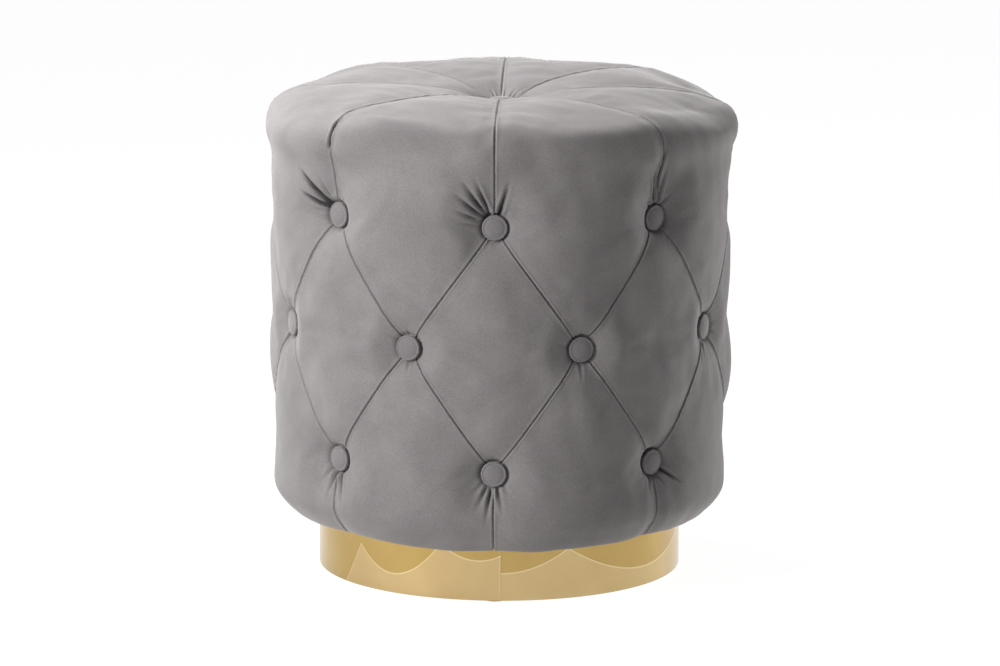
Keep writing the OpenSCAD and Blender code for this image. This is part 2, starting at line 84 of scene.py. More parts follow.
# The cushion, as in the part's source
COLUMNS = 8
PITCH = 360 / COLUMNS
HALF_PITCH = PITCH / 2
SIDE_FOAM = 23.5
SIDE_FLARE = 6.5
FLARE_POWER = 3
SEAT_FOAM = 63.5
SHOULDER_R = 40
LOWER_R = 24
SEAT_CROWN = 4.5
VELVET = 2
HEM = 30
PUFF = 2.4
PUFF_RUN = 45
CENTRE_GAP = 6

# The buttons, as in the part's source
BUTTON_R = 11
BUTTON_H = 6.5
ROW_NODES = ("upper_buttons", "middle_buttons", "lower_buttons")
ROWS = range(len(ROW_NODES))
ROW_TURNS = (0, HALF_PITCH, 0)
ROW_Z = [sum(heights_of(name)) / 2 for name in ROW_NODES]
ROW_SEAT = [radius_of(name) - BUTTON_H for name in ROW_NODES]
SEAT_FLOOR_Z = heights_of("top_button")[0]

# How the velvet differs from the plain solids of the source
HUG_R = BUTTON_R + 1.3
HUG_SHARE, HUG_RUN = 0.34, 1.1
DIMPLE_SHARE, DIMPLE_REACH = 0.48, (36, 25, 31)
DIMPLE_POWER = 1.9
BROAD_RUN = 24
UPPER_STRETCH = 1.6
SEAT_RUN = 37
SLACK = 7.5
SLACK_RUN = 34
GROOVE = 1.3
GROOVE_W = 0.7
SEAT_GROOVE = 0.9
SEAT_GROOVE_W = 0.8
SEAM_LIP, SEAM_LIP_OUT = 0.3, 2.3
PUCKER = 0.22
PUCKER_REACH = 6
UNEVEN = 0.5
UNEVEN_SMALL = 0.35
UNEVEN_REACH = 12
RIM_LIP = 2
RIM_LIP_W = 13
RIM_DIP = 5
RIM_DIP_W = 17
RIM_DROP = 30
WAIST = 2.6
WAIST_W = 14
LOWER_TUCK = 2.6
LOWER_TUCK_W = 14
FRONT_DROP = 4
FRONT_DROP_TURN = 35
HEM_SAG = 2.6
HEM_SAG_W = 14
HEM_LOOSE = 10
HEM_FADE = 18
ALLOWANCE = (1.5, 3.5, 6)
SEAM_GAP = 0.12
TIP = 4
FOAM_UNDER = 3.4
FOLD_ROOM = 5
FOLD_REACH = 38

# The grid of a panel: coarse cells that the simulation moves, each split for the fine detail
SPLIT = 3
ROW_CELL = 6.6
CELLS_ACROSS = 28
EDGE_CROWDING = 1.6
ROW_CROWDING = 1.4
CROWDED_RUN = 25
ROW_SAMPLES = 1000
CUT_SAMPLES = 200

# Distances along the outline, from the middle of the seat, over the shoulder and down to the hem
LOWER_SIDE_R = DRUM_R + SIDE_FOAM + VELVET
SHOULDER_SIDE_R = LOWER_SIDE_R + SIDE_FLARE
SEAT_Z = DRUM_TOP_Z + SEAT_FOAM + VELVET
FLAT_RUN = SHOULDER_SIDE_R - SHOULDER_R
SHOULDER_RUN = SHOULDER_R * math.pi / 2
SIDE_S = FLAT_RUN + SHOULDER_RUN
SIDE_Z = SEAT_Z - SHOULDER_R
SIDE_RUN = SIDE_Z - CLOTH_TOP_Z - LOWER_R
LOWER_S = SIDE_S + SIDE_RUN
LOWER_RUN = LOWER_R * math.pi / 2
HEM_S = LOWER_S + LOWER_RUN
HEM_END_S = HEM_S + HEM
SPLIT_S = SIDE_S + SIDE_Z - DRUM_TOP_Z
UPPER_S, MIDDLE_S, LOW_S = (SIDE_S + SIDE_Z - z for z in ROW_Z)
ROW_S = (UPPER_S, MIDDLE_S, LOW_S)
SLACK_S = FLAT_RUN + 4
RIM_LIP_S = FLAT_RUN + 22
RIM_DIP_S = FLAT_RUN + 54
RIM_DIP_EASE = 0.5
WAIST_S = SIDE_S + 11
LOWER_TUCK_S = LOWER_S + 19

# Swells and hollows of the stuffing, each with its angle from the front, its distance along the outline,
# its width across and along, and its height
LUMPS = (
    (88, SIDE_S - 8, 45, 15, 3.5),
    (109, FLAT_RUN + 8, 42, 22, -5.5),
    (-107, FLAT_RUN + 8, 42, 22, -2),
    (-90, SIDE_S + 30, 45, 22, -2.5),
    (90, SIDE_S + 34, 45, 20, -1.5),
    (-90, MIDDLE_S + 40, 40, 30, 2),
    (90, MIDDLE_S + 45, 40, 30, 3),
    (100, FLAT_RUN + 28, 42, 20, -4),
    (22, FLAT_RUN + 37, 54, 12, 3.5),
    (-22, FLAT_RUN + 29, 54, 12, 3),
    (22, FLAT_RUN - 4, 50, 18, 2.5),
    (-22, FLAT_RUN - 4, 50, 18, 2.5),
    (180, FLAT_RUN + 12, 140, 25, -2.5),
    (72, FLAT_RUN + 16, 40, 20, -5),
    (92, SIDE_S + 17, 45, 12, 6),
    (90, FLAT_RUN + 36, 42, 12, 3.5),
    (-90, FLAT_RUN + 38, 42, 12, 3.5),
    (14, SIDE_S + 8, 40, 22, -4),
    (-30, SIDE_S - 10, 42, 15, -4.5),
    (-33, FLAT_RUN + 28, 34, 13.5, 4.5),
    (-3, UPPER_S + 9, 20, 19, -5.5),
    (-24.5, MIDDLE_S + 3, 16, 15, -4.5),
    (-2, LOW_S + 10, 19, 19, -5.5),
    (0, HEM_S - 6, 115, 12, 4),
)


# The shape of the cover

def outline(s):
    """Radius, height and the outward and upward parts of the normal, along a seam at a distance s."""
    s = np.asarray(s, float)
    shoulder = (SIDE_S - s) / SHOULDER_RUN * math.pi / 2
    lower = (LOWER_S - s) / LOWER_RUN * math.pi / 2
    height = np.clip((LOWER_S - s) / SIDE_RUN, 0, 1)
    one, none = np.ones_like(s), np.zeros_like(s)
    where = [s < FLAT_RUN, s < SIDE_S, s < LOWER_S, s < HEM_S]
    r = np.select(where, [
        s,
        FLAT_RUN + SHOULDER_R * np.cos(shoulder),
        LOWER_SIDE_R + SIDE_FLARE * height ** FLARE_POWER,
        LOWER_SIDE_R - LOWER_R + LOWER_R * np.cos(lower),
    ], LOWER_SIDE_R - LOWER_R - s + HEM_S)
    z = np.select(where, [
        SEAT_Z + SEAT_CROWN * (1 - (s / FLAT_RUN) ** 2),
        SIDE_Z + SHOULDER_R * np.sin(shoulder),
        SIDE_Z - s + SIDE_S,
        CLOTH_TOP_Z + LOWER_R + LOWER_R * np.sin(lower),
    ], CLOTH_TOP_Z)
    out = np.select(where, [none, np.cos(shoulder), one, np.cos(lower)], none)
    up = np.select(where, [one, np.sin(shoulder), none, np.sin(lower)], -one)
    return r, z, out, up


def around(radius, turn, z):
    """Points at an angle in radians from the front, counted towards +X."""
    return np.stack([radius * np.sin(turn), -radius * np.cos(turn), z + np.zeros_like(turn)], -1)


def wrapped(angle):
    """The same angle between -180 and 180 degrees."""
    return (angle + 180) % 360 - 180


def from_column(angle):
    """The angle from the nearest column."""
    return angle - PITCH * np.round(angle / PITCH)


def across(angle, s):
    """The width of an angle on the cover, at a distance s along it."""
    return np.radians(outline(s)[0]) * angle


def from_line(x, y, ax, ay, bx, by):
    """Distance of points from the line between a and b, on the unrolled cover."""
    run_x, run_y = bx - ax, by - ay
    along = np.clip(((x - ax) * run_x + (y - ay) * run_y) / (run_x ** 2 + run_y ** 2), 0, 1)
    return np.hypot(x - ax - along * run_x, y - ay - along * run_y)


def seam_distance(angle, s):
    """Distance from the nearest seam, and from the nearest vertical or radial one."""
    x, half = across(np.abs(from_column(angle)), s), across(HALF_PITCH, s)
    seat = from_line(x, s, 0, 0, 0, UPPER_S)
    hem = from_line(x, s, 0, LOW_S, 0, HEM_END_S)
    upper = from_line(x, s, 0, UPPER_S, half, MIDDLE_S)
    lower = from_line(x, s, half, MIDDLE_S, 0, LOW_S)
    straight = np.minimum(seat, hem)
    return np.minimum(straight, np.minimum(upper, lower)), straight


def nearest_button(angle, s, row):
    """Place on the unrolled cover, from the nearest button of a row: to its right and above it."""
    return across(from_column(angle - ROW_TURNS[row]), s), ROW_S[row] - s


def past_button(distance):
    return np.maximum(distance - HUG_R, 0)


def button_pull(x, y, row):
    """Share by which the cover is drawn down to a button's seat: steeply beside it, then more gently, and
    further up from the upper row, where the velvet comes over the shoulder."""
    near = past_button(np.hypot(x, y))
    stretch = np.where((row == 0) & (y > 0), UPPER_STRETCH, 1)
    broad = past_button(np.hypot(x, y / stretch))
    rest = 1 - HUG_SHARE - DIMPLE_SHARE
    dimple = np.clip(1 - broad / DIMPLE_REACH[row], 0, 1) ** DIMPLE_POWER
    return HUG_SHARE * np.exp(-near / HUG_RUN) + DIMPLE_SHARE * dimple + rest * np.exp(-broad / BROAD_RUN)


def smooth(share):
    """Eases a share from 0 to 1."""
    share = np.clip(share, 0, 1)
    return share * share * (3 - 2 * share)


def hill(s, middle, width):
    return np.exp(-((s - middle) / width) ** 2)


def lumps(angle, s):
    total = np.zeros_like(s)
    for turn, middle, wide, long, height in LUMPS:
        total = total + height * hill(across(wrapped(angle - turn), s), 0, wide) * hill(s, middle, long)
    return total


def soft_lift(angle, s):
    """How far the cover stands off its outline, before seams, pleats and simulation."""
    r, z, _, _ = outline(s)
    distance, _ = seam_distance(angle, s)
    off = np.abs(from_column(angle))
    lift = PUFF * (1 - (1 - np.minimum(distance / PUFF_RUN, 1)) ** 2)
    lift = lift - SLACK * hill(s, SLACK_S, SLACK_RUN) * (1 - (1 - off / HALF_PITCH) ** 2)
    sideways = np.sin(np.radians(angle)) ** 2
    raised = s - RIM_DROP * sideways
    lift = lift + RIM_LIP * hill(raised, RIM_LIP_S, RIM_LIP_W)
    dip = RIM_DIP * (1 - sideways) * smooth(off / (HALF_PITCH * RIM_DIP_EASE))
    lift = lift - dip * hill(raised, RIM_DIP_S, RIM_DIP_W)
    lift = lift - WAIST * hill(s, WAIST_S, WAIST_W) - LOWER_TUCK * hill(s, LOWER_TUCK_S, LOWER_TUCK_W)
    lift = lift + lumps(angle, s)
    for row in ROWS:
        x, y = nearest_button(angle, s, row)
        lift = lift + (ROW_SEAT[row] - r - lift) * button_pull(x, y, row)
    lift = lift + (SEAT_FLOOR_Z - z - lift) * np.exp(-past_button(s) / SEAT_RUN)
    towards_front = np.maximum(np.cos(np.radians(angle - FRONT_DROP_TURN)), 0)
    drop = FRONT_DROP * towards_front * smooth((SIDE_S - s) / SHOULDER_RUN)
    lift = lift - drop * np.minimum(s / FLAT_RUN, 1)
    loose = smooth((HEM_S + HEM_LOOSE - s) / HEM_FADE)
    return loose * (lift + HEM_SAG * hill(s, HEM_S, HEM_SAG_W))


def placed(angle, s, lift):
    """Points in millimetres at an angle from the front and a distance s, lifted off the outline."""
    r, z, out, up = outline(s)
    return around(r + out * lift, np.radians(angle), z + up * lift)


def normals(angle, s):
    _, _, out, up = outline(s)
    return around(out, np.radians(angle), up)


# Fine detail of the velvet

WAVE_COUNT = 9
WAVE_LENGTHS = (0.7, 1.5)


class Waves:
    """Smooth unevenness around 0: a few seeded plane waves in space, of lengths near one wavelength."""

    def __init__(self, seed, wavelength):
        random = np.random.default_rng(seed)
        direction = random.normal(size=(WAVE_COUNT, 3))
        direction /= np.linalg.norm(direction, axis=1)[:, None]
        length = wavelength * random.uniform(*WAVE_LENGTHS, WAVE_COUNT)
        self.direction = direction * (2 * math.pi / length)[:, None]
        self.phase = random.uniform(0, 2 * math.pi, WAVE_COUNT)

    def __call__(self, points):
        waves = [np.sin(points @ d + p) for d, p in zip(self.direction, self.phase)]
        return sum(waves) / math.sqrt(len(waves))


BROAD = Waves(seed=11, wavelength=95)
SMALL = Waves(seed=12, wavelength=26)
ALONG_SEAM = Waves(seed=13, wavelength=9)

# Pleats by button, as its row and column, counted from the front towards +X. Each pleat has a direction
# in degrees from the right, counter-clockwise, and a length, a depth and a width in millimetres.
PLEATS = {
    (0, 0): [(112, 50, 5.5, 2.2), (125, 54, 6.5, 2.4), (139, 50, 6.0, 2.4), (155, 42, 4.4, 2.4),
             (172, 34, 3.0, 2.4), (72, 44, 6.6, 2.3), (50, 24, 1.4, 2.0), (-112, 22, 1.0, 2.0)],
    (0, 7): [(140, 58, 11, 3.0), (157, 44, 10, 2.8), (122, 38, 4.2, 2.2), (174, 28, 4.0, 2.2),
             (60, 22, 1.2, 2.0)],
    (0, 1): [(126, 24, 3.5, 2.1), (100, 46, 4.4, 2.1), (80, 46, 4.2, 2.0), (52, 28, 4.0, 2.1),
             (-120, 18, 1.0, 2.0)],
    (1, 7): [(90, 20, 1.4, 2.0), (152, 26, 1.8, 2.2), (-90, 24, 1.8, 2.1), (20, 20, 1.0, 2.2)],
    (1, 0): [(90, 20, 1.2, 2.0), (-92, 28, 1.8, 2.2), (165, 26, 1.4, 2.2), (10, 22, 1.2, 2.2)],
    (2, 0): [(-100, 44, 4.4, 2.3), (-117, 38, 4.0, 2.3), (-138, 30, 2.2, 2.2), (-76, 36, 3.6, 2.3),
             (-50, 28, 2.0, 2.2), (90, 18, 1.0, 2.0)],
    (2, 7): [(-104, 38, 3.6, 2.3), (-130, 30, 2.6, 2.2), (-74, 42, 4.4, 2.4), (175, 18, 1.0, 2.2)],
    (2, 1): [(-36, 40, 5.4, 2.4), (-62, 28, 2.4, 2.2), (-108, 28, 2.4, 2.2), (-142, 24, 1.8, 2.2)],
}

# Deep creases in the seams of the shoulder: column, middle, length, depth and width in millimetres
CREASES = (
    (7, SIDE_S - 23, 32, 5.0, 1.2),
    (5, SIDE_S - 16, 36, 3.6, 1.5),
    (2, SIDE_S - 12, 40, 2.6, 1.5),
    (1, SIDE_S + 8, 38, 3.2, 1.2),
)
CREASE_SWAY, CREASE_BEND = 2.2, 3
CREASE_LIP, CREASE_LIP_OUT = 0.2, 2

# Limits of the pleats that the photograph doesn't show
HIDDEN_SEED = 21
HIDDEN_COUNT = (4, 7)
HIDDEN_LENGTH = (18, 36)
HIDDEN_DEPTH = (1.2, 3.2)
HIDDEN_WIDTH = 2.2

# The section of every pleat, and the shade painted into valleys of pleats and creases: from which depth on
# it is darkest, and how dark
PLEAT_REACH = 45
PLEAT_START, PLEAT_EASE = 8.5, 6
PLEAT_WIDE, PLEAT_TAPER = 0.9, 0.3
VALLEY_POWER = 1.4
RIDGE_SHARE, RIDGE_MOST, RIDGE_OUT = 0.7, 2.4, 1.8
FOLD_DARK, FOLD_SHADE = 2.4, 0.2

# The gathers round the middle button: height, place and width, and waves with a share, a count and a turn
GATHER, GATHER_S, GATHER_W = 0.6, 14, 11
GATHER_WAVES = ((1, 24, 20), (0.6, 40, 70))


def hidden_pleats():
    """Seeded pleats for every button, used where the photograph shows none."""
    random = np.random.default_rng(HIDDEN_SEED)
    made = {}
    for row in ROWS:
        for column in range(COLUMNS):
            count = random.integers(*HIDDEN_COUNT)
            turns = random.uniform(0, 360, count)
            lengths = random.uniform(*HIDDEN_LENGTH, count)
            depths = random.uniform(*HIDDEN_DEPTH, count)
            made[row, column] = [(*pleat, HIDDEN_WIDTH) for pleat in zip(turns, lengths, depths)]
    return made


ALL_PLEATS = {**hidden_pleats(), **PLEATS}


def pleat_lift(x, y, turn, length, depth, width):
    """A valley that runs out from a button, with a ridge on either side."""
    a = math.radians(turn)
    along = x * math.cos(a) + y * math.sin(a)
    aside = y * math.cos(a) - x * math.sin(a)
    w = width * (PLEAT_WIDE - PLEAT_TAPER * np.clip(along / length, 0, 1))
    valley = np.exp(-(np.abs(aside) / w) ** VALLEY_POWER)
    ridges = hill(aside, RIDGE_OUT * w, w) + hill(aside, -RIDGE_OUT * w, w)
    fade = np.clip((along - PLEAT_START) / PLEAT_EASE, 0, 1) * np.clip(1 - along / length, 0, 1)
    return fade * (min(RIDGE_SHARE * depth, RIDGE_MOST) * ridges - depth * valley)


def pleats(angle, s):
    total = np.zeros_like(s)
    for row in ROWS:
        x, y = nearest_button(angle, s, row)
        if np.hypot(x, y).min() > PLEAT_REACH:
            continue
        column = np.round((angle - ROW_TURNS[row]) / PITCH).astype(int) % COLUMNS
        for k in np.unique(column):
            here = column == k
            for pleat in ALL_PLEATS[row, int(k)]:
                total[here] += pleat_lift(x[here], y[here], *pleat)
    return total


def creases(angle, s):
    total = np.zeros_like(s)
    for column, middle, length, depth, width in CREASES:
        sway = CREASE_SWAY * np.sin((s - middle) / length * CREASE_BEND)
        x = across(wrapped(angle - column * PITCH), s) + sway
        along = np.clip(1 - ((s - middle) / (length / 2)) ** 2, 0, 1)
        lips = CREASE_LIP * hill(np.abs(x), CREASE_LIP_OUT * width, width)
        total -= depth * along * (hill(x, 0, width) - lips)
    return total


def centre_pleats(angle, s):
    waves = sum(share * np.cos(np.radians(angle * count + turn)) for share, count, turn in GATHER_WAVES)
    return GATHER * waves * hill(s, GATHER_S, GATHER_W)


def detail(angle, s, points):
    """The height of seams, pleats and unevenness on the soft shape, and the shade painted into deep valleys.
    """
    distance, straight = seam_distance(angle, s)
    on_seat = np.clip((SIDE_S - s) / SHOULDER_RUN, 0, 1) * (straight <= distance + TINY)
    depth = GROOVE + (SEAT_GROOVE - GROOVE) * on_seat
    width = GROOVE_W + (SEAT_GROOVE_W - GROOVE_W) * on_seat
    groove = depth * (hill(distance, 0, width) - SEAM_LIP * hill(distance, SEAM_LIP_OUT * width, width))
    puckers = PUCKER * ALONG_SEAM(points) * hill(distance, 0, PUCKER_REACH)
    under = smooth((HEM_S + HEM_LOOSE - s) / HEM_FADE)
    away = np.clip(distance / UNEVEN_REACH, 0, 1)
    uneven = UNEVEN * (BROAD(points) + UNEVEN_SMALL * SMALL(points)) * away
    folds = pleats(angle, s) + creases(angle, s)
    height = under * (puckers + uneven + folds) - groove + centre_pleats(angle, s)
    return height, smooth(np.clip(-under * folds, 0, FOLD_DARK) / FOLD_DARK)


# Panels

def top_half(s):
    return HALF_PITCH * np.clip((MIDDLE_S - s) / (MIDDLE_S - UPPER_S), 0, 1)


def diamond_half(s):
    return HALF_PITCH * np.minimum((s - UPPER_S) / (MIDDLE_S - UPPER_S), (LOW_S - s) / (LOW_S - MIDDLE_S))


def lower_half(s):
    return HALF_PITCH * np.clip((s - MIDDLE_S) / (LOW_S - MIDDLE_S), 0, 1)


# Where each kind of panel starts and ends, half its width in degrees, and its turn from its column
PANEL_KINDS = {
    "top": (CENTRE_GAP, MIDDLE_S - TIP, top_half, -HALF_PITCH),
    "diamond": (UPPER_S + TIP, LOW_S - TIP, diamond_half, -PITCH),
    "lower": (MIDDLE_S + TIP, HEM_END_S, lower_half, -HALF_PITCH),
}
PANELS = [(kind, column) for kind in PANEL_KINDS for column in range(1, COLUMNS + 1)]


def row_places(start, end, count):
    """Distances down a panel, closer together near the rows of buttons."""
    s = np.linspace(start, end, ROW_SAMPLES)
    crowding = 1 + ROW_CROWDING * sum(hill(s, row, CROWDED_RUN) for row in ROW_S)
    total = np.concatenate([[0], np.cumsum((crowding[1:] + crowding[:-1]) / 2)])
    return np.interp(np.linspace(0, total[-1], count + 1), total, s)


def panel_grid(kind, column, split):
    """Angles and distances of a panel's points, row by row. split is 1 for the coarse grid."""
    start, end, half, turn = PANEL_KINDS[kind]
    s = row_places(start, end, round((end - start) / ROW_CELL) * split)
    t = np.linspace(-1, 1, CELLS_ACROSS * split + 1)
    share = np.sign(t) * (1 - (1 - np.abs(t)) ** EDGE_CROWDING)
    angle = column * PITCH + turn + half(s)[:, None] * share
    return angle, np.repeat(s[:, None], len(t), axis=1)


def grid_faces(rows, columns, first=0, closed=False):
    """Quads of a grid of points. Its rows run down and its columns to the right, seen from outside."""
    index = np.arange(rows * columns).reshape(rows, columns) + first
    if closed:
        index = np.hstack([index, index[:, :1]])
    quads = np.stack([index[:-1, :-1], index[1:, :-1], index[1:, 1:], index[:-1, 1:]], -1)
    return quads.reshape(-1, 4)


def new_object(name, data):
    thing = bpy.data.objects.new(name, data)
    bpy.context.scene.collection.objects.link(thing)
    return thing


def new_piece(name, points, faces, look):
    """A mesh object that rides on the pouf, from points in millimetres."""
    mesh = bpy.data.meshes.new(name)
    mesh.from_pydata((np.asarray(points) * MM).tolist(), [], [list(map(int, f)) for f in faces])
    mesh.materials.append(look.material)
    mesh.shade_smooth()
    mesh.update()
    piece = new_object(name, mesh)
    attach(piece, "root")
    return piece


def panel_points(kind, column, billow):
    """The final points of a panel, with its seam allowances turned in on both sides, and its painted valley
    shade.
    """
    angle, s = panel_grid(kind, column, SPLIT)
    soft = placed(angle, s, soft_lift(angle, s))
    if billow is not None:
        soft = soft + billow
    height, folds = detail(angle, s, soft)
    points = soft + normals(angle, s) * height[..., None]
    gap = np.degrees(SEAM_GAP / outline(s[:, :1])[0])
    turned = []
    for edge, side in ((0, 1), (-1, -1)):
        inner = normals(angle[:, edge] + side * gap[:, 0], s[:, edge])
        turned.append([points[:, edge] - inner * depth for depth in ALLOWANCE])
    left = np.stack(turned[0][::-1], axis=1)
    right = np.stack(turned[1], axis=1)
    folds = np.pad(folds, ((0, 0), (len(ALLOWANCE), len(ALLOWANCE))), mode="edge")
    return np.concatenate([left, points, right], axis=1), folds


# Simulation: the cover swells between its seams and its buttons

SWELL_PRESSURE = 4
SWELL_FRAMES = 20
SWELL_EASE = -0.008
SWELL_OUT, SWELL_IN, SWELL_ASIDE = 3, 1, 1
SWELL_HELD = 6
SWELL_SEAM = 14


def held_points(angle, s):
    """Which points of a panel stay in place: its edges, those beside a button and those past the hem."""
    held = s > HEM_S
    held[[0, -1], :] = True
    held[:, [0, -1]] = True
    for row in ROWS:
        held |= np.hypot(*nearest_button(angle, s, row)) < HUG_R + SWELL_HELD
    return held | (s < HUG_R + SWELL_HELD)


def simulated(points, faces, held):
    """The points in millimetres after cloth under pressure has settled, with the held ones in place."""
    scene = bpy.context.scene
    mesh = bpy.data.meshes.new("swelling")
    mesh.from_pydata((points * MM).tolist(), [], faces.tolist())
    cover = new_object("swelling", mesh)
    group = cover.vertex_groups.new(name="held")
    group.add(np.flatnonzero(held).tolist(), 1.0, "REPLACE")
    cloth = cover.modifiers.new("cloth", "CLOTH")
    cloth.settings.vertex_group_mass = group.name
    cloth.settings.use_pressure = True
    cloth.settings.uniform_pressure_force = SWELL_PRESSURE
    cloth.settings.shrink_min = SWELL_EASE
    cloth.settings.effector_weights.gravity = 0
    cloth.collision_settings.use_collision = False
    for number in range(1, SWELL_FRAMES + 1):
        scene.frame_set(number)
    moved = mesh_points(cover.evaluated_get(bpy.context.evaluated_depsgraph_get()).to_mesh())
    bpy.data.objects.remove(cover)
    bpy.data.meshes.remove(mesh)
    scene.frame_set(1)
    return moved


def capped_move(move, normal):
    """Keeps moves within their limits outward, inward and sideways."""
    out = (move * normal).sum(-1, keepdims=True)
    aside = move - out * normal
    length = np.linalg.norm(aside, axis=-1, keepdims=True)
    aside = aside * np.minimum(1, SWELL_ASIDE / np.maximum(length, TINY))
    out = np.where(out > 0, SWELL_OUT * np.tanh(out / SWELL_OUT), SWELL_IN * np.tanh(out / SWELL_IN))
    return aside + out * normal


def finer(values):
    """A coarse grid of moves on the fine grid of the same panel, eased by averages of neighbours."""
    for axis in (0, 1):
        values = np.moveaxis(values, axis, 0)
        count = (len(values) - 1) * SPLIT
        place = np.arange(count + 1) / SPLIT
        low = np.minimum(place.astype(int), len(values) - 2)
        share = (place - low)[:, None, None]
        values = values[low] * (1 - share) + values[low + 1] * share
        for _ in range(SPLIT):
            values[1:-1] = (values[:-2] + 2 * values[1:-1] + values[2:]) / 4
        values = np.moveaxis(values, 0, axis)
    return values


def swell():
    """Runs the simulation on all panels at once, and returns how far it moves each point of each."""
    grids = [panel_grid(kind, column, 1) for kind, column in PANELS]
    soft = [placed(angle, s, soft_lift(angle, s)) for angle, s in grids]
    firsts = np.cumsum([0] + [s.size for _, s in grids])
    faces = [grid_faces(*s.shape, first) for (_, s), first in zip(grids, firsts)]
    held = [held_points(angle, s).ravel() for angle, s in grids]
    start = np.concatenate([points.reshape(-1, 3) for points in soft])
    moved = simulated(start, np.concatenate(faces), np.concatenate(held)) - start
    billows = {}
    for panel, (angle, s), first in zip(PANELS, grids, firsts):
        move = moved[first:first + s.size].reshape(*s.shape, 3)
        beside = smooth(seam_distance(angle, s)[0] / SWELL_SEAM)
        billows[panel] = finer(capped_move(move, normals(angle, s)) * beside[..., None])
    return billows


def surface_area(grid):
    """Area of a grid of points, in the square of their unit."""
    a = grid[1:, :-1] - grid[:-1, :-1]
    b = grid[:-1, 1:] - grid[:-1, :-1]
    c = grid[1:, 1:] - grid[:-1, 1:]
    d = grid[1:, 1:] - grid[1:, :-1]
    halves = np.linalg.norm(np.cross(a, b), axis=-1) + np.linalg.norm(np.cross(c, d), axis=-1)
    return float(halves.sum() / 2)


def flat_size(kind):
    """Width and length that a panel is cut to, in metres, with its allowances."""
    start, end, half, _ = PANEL_KINDS[kind]
    s = np.linspace(start, end, CUT_SAMPLES)
    width = 2 * np.radians(half(s)) * outline(s)[0] + 2 * ALLOWANCE[-1]
    return float(width.max() * MM), float((end - start + 2 * ALLOWANCE[-1]) * MM)


def make_panels(look, billows):
    for kind, column in PANELS:
        width, length = flat_size(kind)
        grid, folds = panel_points(kind, column, billows.get((kind, column)))
        faces = grid_faces(*grid.shape[:2])
        piece = new_piece(f"velvet_{kind}_{column}", grid.reshape(-1, 3), faces, look)
        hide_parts(f"{kind}_panel_{column}")
        # Painted shade: this attribute darkens the velvet's colour in the valleys of pleats and creases
        piece.data.attributes.new("painted_fold_shade", "FLOAT", "POINT").data.foreach_set("value", folds.ravel())
        area = surface_area(grid) * MM ** 2


# Foam

FOAM_ANGLES = np.arange(0, 360, 2.5)
FOAM_STEP = 5
FOAM_START = 2
FOAM_FLOOR_SHARES = (0.97, 0.5)
FOAM_GAP = 0.1
FOAM_SLIT = 1
FOAM_HEM_GAP = 2
FOAM_RISE = 1


def foam_points(angle, s):
    """Points of the foam, under the velvet and clear of its deepest folds."""
    near = [hill(np.hypot(*nearest_button(angle, s, row)), 0, FOLD_REACH) for row in ROWS]
    folds = np.maximum.reduce([*near, hill(s, RIM_LIP_S, FOLD_REACH)])
    return placed(angle, s, soft_lift(angle, s) - FOAM_UNDER - FOLD_ROOM * folds)


def foam_rings(start, end):
    steps = np.arange(start, end, FOAM_STEP)
    return [foam_points(FOAM_ANGLES, np.full_like(FOAM_ANGLES, s)) for s in steps]


def fan(middle, first, count):
    """Triangles between a middle point and a closed ring of points."""
    index = np.arange(count)
    return np.stack([np.full(count, middle), index + first, np.roll(index, -1) + first], -1)


def flipped(faces):
    """Faces turned to the other side, from the same first corner."""
    return np.hstack([faces[:, :1], faces[:, :0:-1]])


def sleeve(rings, whole=True):
    """Points and faces of a solid whose section is a closed row of rings, which go all round if whole."""
    points = np.stack(rings)
    rows, columns = points.shape[:2]
    return points.reshape(-1, 3), grid_faces(rows + 1, columns, closed=whole) % (rows * columns)


def capped(rings):
    """Points and faces of a solid of rings from its top middle to its bottom middle."""
    flat = np.concatenate(rings)
    columns = len(rings[0])
    top, bottom = flat[:columns].mean(0), flat[-columns:].mean(0)
    base = fan(len(flat) + 1, len(flat) - columns, columns)
    faces = [*grid_faces(len(rings), columns, closed=True), *fan(len(flat), 0, columns), *flipped(base)]
    return np.vstack([flat, top, bottom]), faces


def joined(parts):
    """Points and faces of several meshes as one."""
    firsts = np.cumsum([0] + [len(points) for points, _ in parts])
    faces = [np.add(face, first) for (_, own), first in zip(parts, firsts) for face in own]
    return np.vstack([points for points, _ in parts]), faces


def make_foam(look):
    rings = foam_rings(FOAM_START, SPLIT_S)
    for share in FOAM_FLOOR_SHARES:
        rings.append(rings[-1] * (share, share, 0) + (0, 0, DRUM_TOP_Z + FOAM_GAP))
    seat = new_piece("foam_seat", *capped(rings), look)
    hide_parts("seat_foam")
    turn = np.radians(FOAM_ANGLES)
    inner_r = DRUM_R + 2 * FOAM_GAP
    rings = [around(inner_r, turn, DRUM_TOP_Z - FOAM_GAP)]
    rings += foam_rings(SPLIT_S + FOAM_SLIT, HEM_S - FOAM_HEM_GAP)
    rings += [around(inner_r, turn, DRUM_Z + FOAM_RISE)]
    side = new_piece("foam_side", *sleeve(rings), look)
    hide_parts("side_foam")


# Buttons

# The section of a button as radius and height, outward from its crown
BUTTON_CROWN = 5.9
BUTTON_PROFILE = ((3, 5.82), (6, 5.5), (7.8, 5.05), (8.7, 4.65), (9.2, 4.6), (9.8, 4.9),
                  (10.3, 4.8), (10.8, 4.2), (11, 3.3), (10.9, 2.3), (10.4, 1.2), (9.2, 0.5), (7.5, 0.2))
BUTTON_SIDES = 64
BUTTON_SEED = 100
BUTTON_LEAN = 0.12
BUTTON_FOLDS = (11, 17, 23)
BUTTON_FOLD_OUT, BUTTON_FOLD_UP = 0.16, 0.1
BUTTON_FACE_R, BUTTON_FACE_Z = 8, 3
BUTTON_EASE = 3


